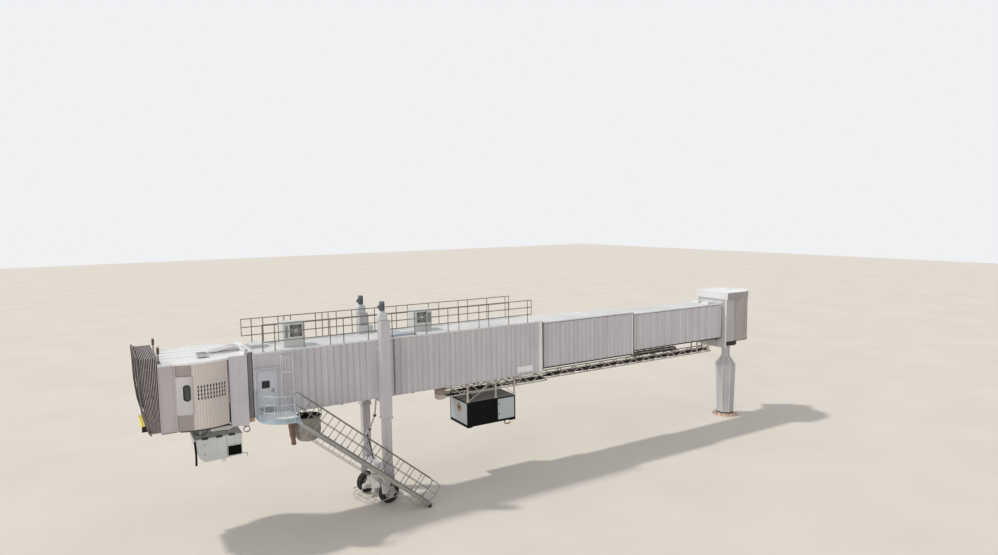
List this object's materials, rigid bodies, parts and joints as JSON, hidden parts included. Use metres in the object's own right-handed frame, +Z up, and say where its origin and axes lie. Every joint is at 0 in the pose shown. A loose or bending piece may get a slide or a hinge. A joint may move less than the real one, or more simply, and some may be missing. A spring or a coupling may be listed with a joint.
{
  "type": "passenger boarding bridge",
  "caption": "Apron-drive jet bridge with a slewing rotunda, three telescoping tunnels, wheeled lift columns, turning cab, folding canopy and service stair.",
  "frame": {"origin": "centre of the rotunda column's base flange, on the ground", "axes": "+X outwards along the tunnels to the cab, +Y to the service stair side, +Z up"},
  "size_m": [38.8266, 5.575, 10.17],
  "materials": {
    "rust_steel": "matt rust primer",
    "column_paint": "satin",
    "wall_paint": "satin",
    "roof_paint": "matt",
    "floor_steel": "matt",
    "curtain_slats": "satin",
    "galvanised": "dull zinc",
    "landing_paint": "satin",
    "rail_paint": "matt",
    "unit_paint": "satin",
    "unit_black": "satin",
    "basket_canvas": "matt",
    "motor_paint": "satin",
    "tyre_rubber": "matt",
    "bellows_fabric": "matt",
    "yellow_rubber": "matt",
    "dark_steel": "matt"
  },
  "bodies": {
    "anchorage": {"base_flange": "rust_steel", "rotunda_column": "column_paint", "rotunda_floor": "floor_steel", "link_floor": "floor_steel", "link_near_wall": "wall_paint", "link_far_wall": "wall_paint", "link_roof": "roof_paint"},
    "rotunda_head": {"slew_yoke": "dark_steel", "portal_frame": "wall_paint", "rotunda_roof": "roof_paint", "rotunda_curtain_near": "curtain_slats", "rotunda_curtain_far": "curtain_slats"},
    "tunnel_a": {"tunnel_a_near_wall": "wall_paint", "tunnel_a_far_wall": "wall_paint", "tunnel_a_floor": "floor_steel", "tunnel_a_roof": "roof_paint", "cable_truss_a": "galvanised"},
    "tunnel_b": {"tunnel_b_near_wall": "wall_paint", "tunnel_b_far_wall": "wall_paint", "tunnel_b_floor": "floor_steel", "tunnel_b_roof": "roof_paint"},
    "tunnel_c": {"tunnel_c_near_wall": "wall_paint", "tunnel_c_far_wall": "wall_paint", "tunnel_c_floor": "floor_steel", "tunnel_c_roof": "roof_paint", "service_door": "unit_paint", "landing": "landing_paint", "landing_rail": "rail_paint", "roof_ladder": "roof_paint", "roof_rail_near": "rail_paint", "roof_rail_far": "rail_paint", "roof_units": "unit_paint", "hose_basket": "basket_canvas", "air_unit": "unit_black", "air_unit_hangers": "galvanised", "cable_truss_c": "galvanised", "lift_columns": "wall_paint", "lift_motors": "motor_paint", "cab_neck": "wall_paint"},
    "lift": {"lift_legs": "wall_paint"},
    "bogie": {"bogie": "unit_paint"},
    "near_wheel": {"tyre_near": "tyre_rubber"},
    "far_wheel": {"tyre_far": "tyre_rubber"},
    "stair": {"stair_stringers": "galvanised", "stair_treads": "galvanised", "stair_rails": "galvanised"},
    "cab": {"cab_floor": "floor_steel", "cab_roof": "roof_paint", "cab_panels": "wall_paint", "cab_curtain_near": "curtain_slats", "cab_curtain_far": "curtain_slats", "cab_window_panel": "roof_paint", "bumper": "yellow_rubber", "power_unit": "unit_paint", "canopy_bellows": "bellows_fabric"},
    "canopy": {"canopy_hoop": "dark_steel"}
  },
  "joints": [
    {"name": "slew", "type": "hinge", "parent": "anchorage", "child": "rotunda_head", "pos_m": [0, 0, 5.2], "axis": [0, 0, 1], "range_deg": [-40, 120], "deforming": ["rotunda_curtain_near", "rotunda_curtain_far"]},
    {"name": "pitch", "type": "hinge", "parent": "rotunda_head", "child": "tunnel_a", "pos_m": [1.6, 0, 5.62], "axis": [0, -1, 0], "range_deg": [-4.6, 1.4]},
    {"name": "slide_b", "type": "slide", "parent": "tunnel_a", "child": "tunnel_b", "axis": [1, 0, 0], "range_m": [-6, 2.5]},
    {"name": "slide_c", "type": "slide", "parent": "tunnel_b", "child": "tunnel_c", "axis": [1, 0, 0], "range_m": [-6, 2.5]},
    {"name": "lift", "type": "slide", "parent": "tunnel_c", "child": "lift", "axis": [0, 0, -1], "range_m": [-1.961, 0.604]},
    {"name": "steer", "type": "hinge", "parent": "lift", "child": "bogie", "pos_m": [25.9, 0, 1.3], "axis": [0, 0, 1], "range_deg": [-104, 76]},
    {"name": "near_wheel_spin", "type": "hinge", "parent": "bogie", "child": "near_wheel", "pos_m": [25.66956, 0.95252, 0.53], "axis": [-0.2351, 0.972, 0], "continuous": true},
    {"name": "far_wheel_spin", "type": "hinge", "parent": "bogie", "child": "far_wheel", "pos_m": [26.13044, -0.95252, 0.53], "axis": [-0.2351, 0.972, 0], "continuous": true},
    {"name": "stair_pitch", "type": "hinge", "parent": "tunnel_c", "child": "stair", "pos_m": [30.3, 2.24, 5.3], "axis": [0, 1, 0], "range_deg": [-7.85, 25.56]},
    {"name": "cab_turn", "type": "hinge", "parent": "tunnel_c", "child": "cab", "pos_m": [34.05, -0.53, 5.4], "axis": [0, 0, 1], "range_deg": [-92.5, 32.5], "deforming": ["cab_curtain_near", "cab_curtain_far"]},
    {"name": "canopy_swing", "type": "hinge", "parent": "cab", "child": "canopy", "pos_m": [36.09, -0.53, 5.45], "axis": [0, 1, 0], "range_deg": [0, 18], "deforming": ["canopy_bellows"]}
  ],
  "couplings": [
    {"joint": "slide_c", "follows": "slide_b", "ratio": 1},
    {"joint": "lift", "follows": "pitch", "m_per_rad": 24.3},
    {"joint": "stair_pitch", "follows": "pitch", "ratio": -5.534}
  ]
}
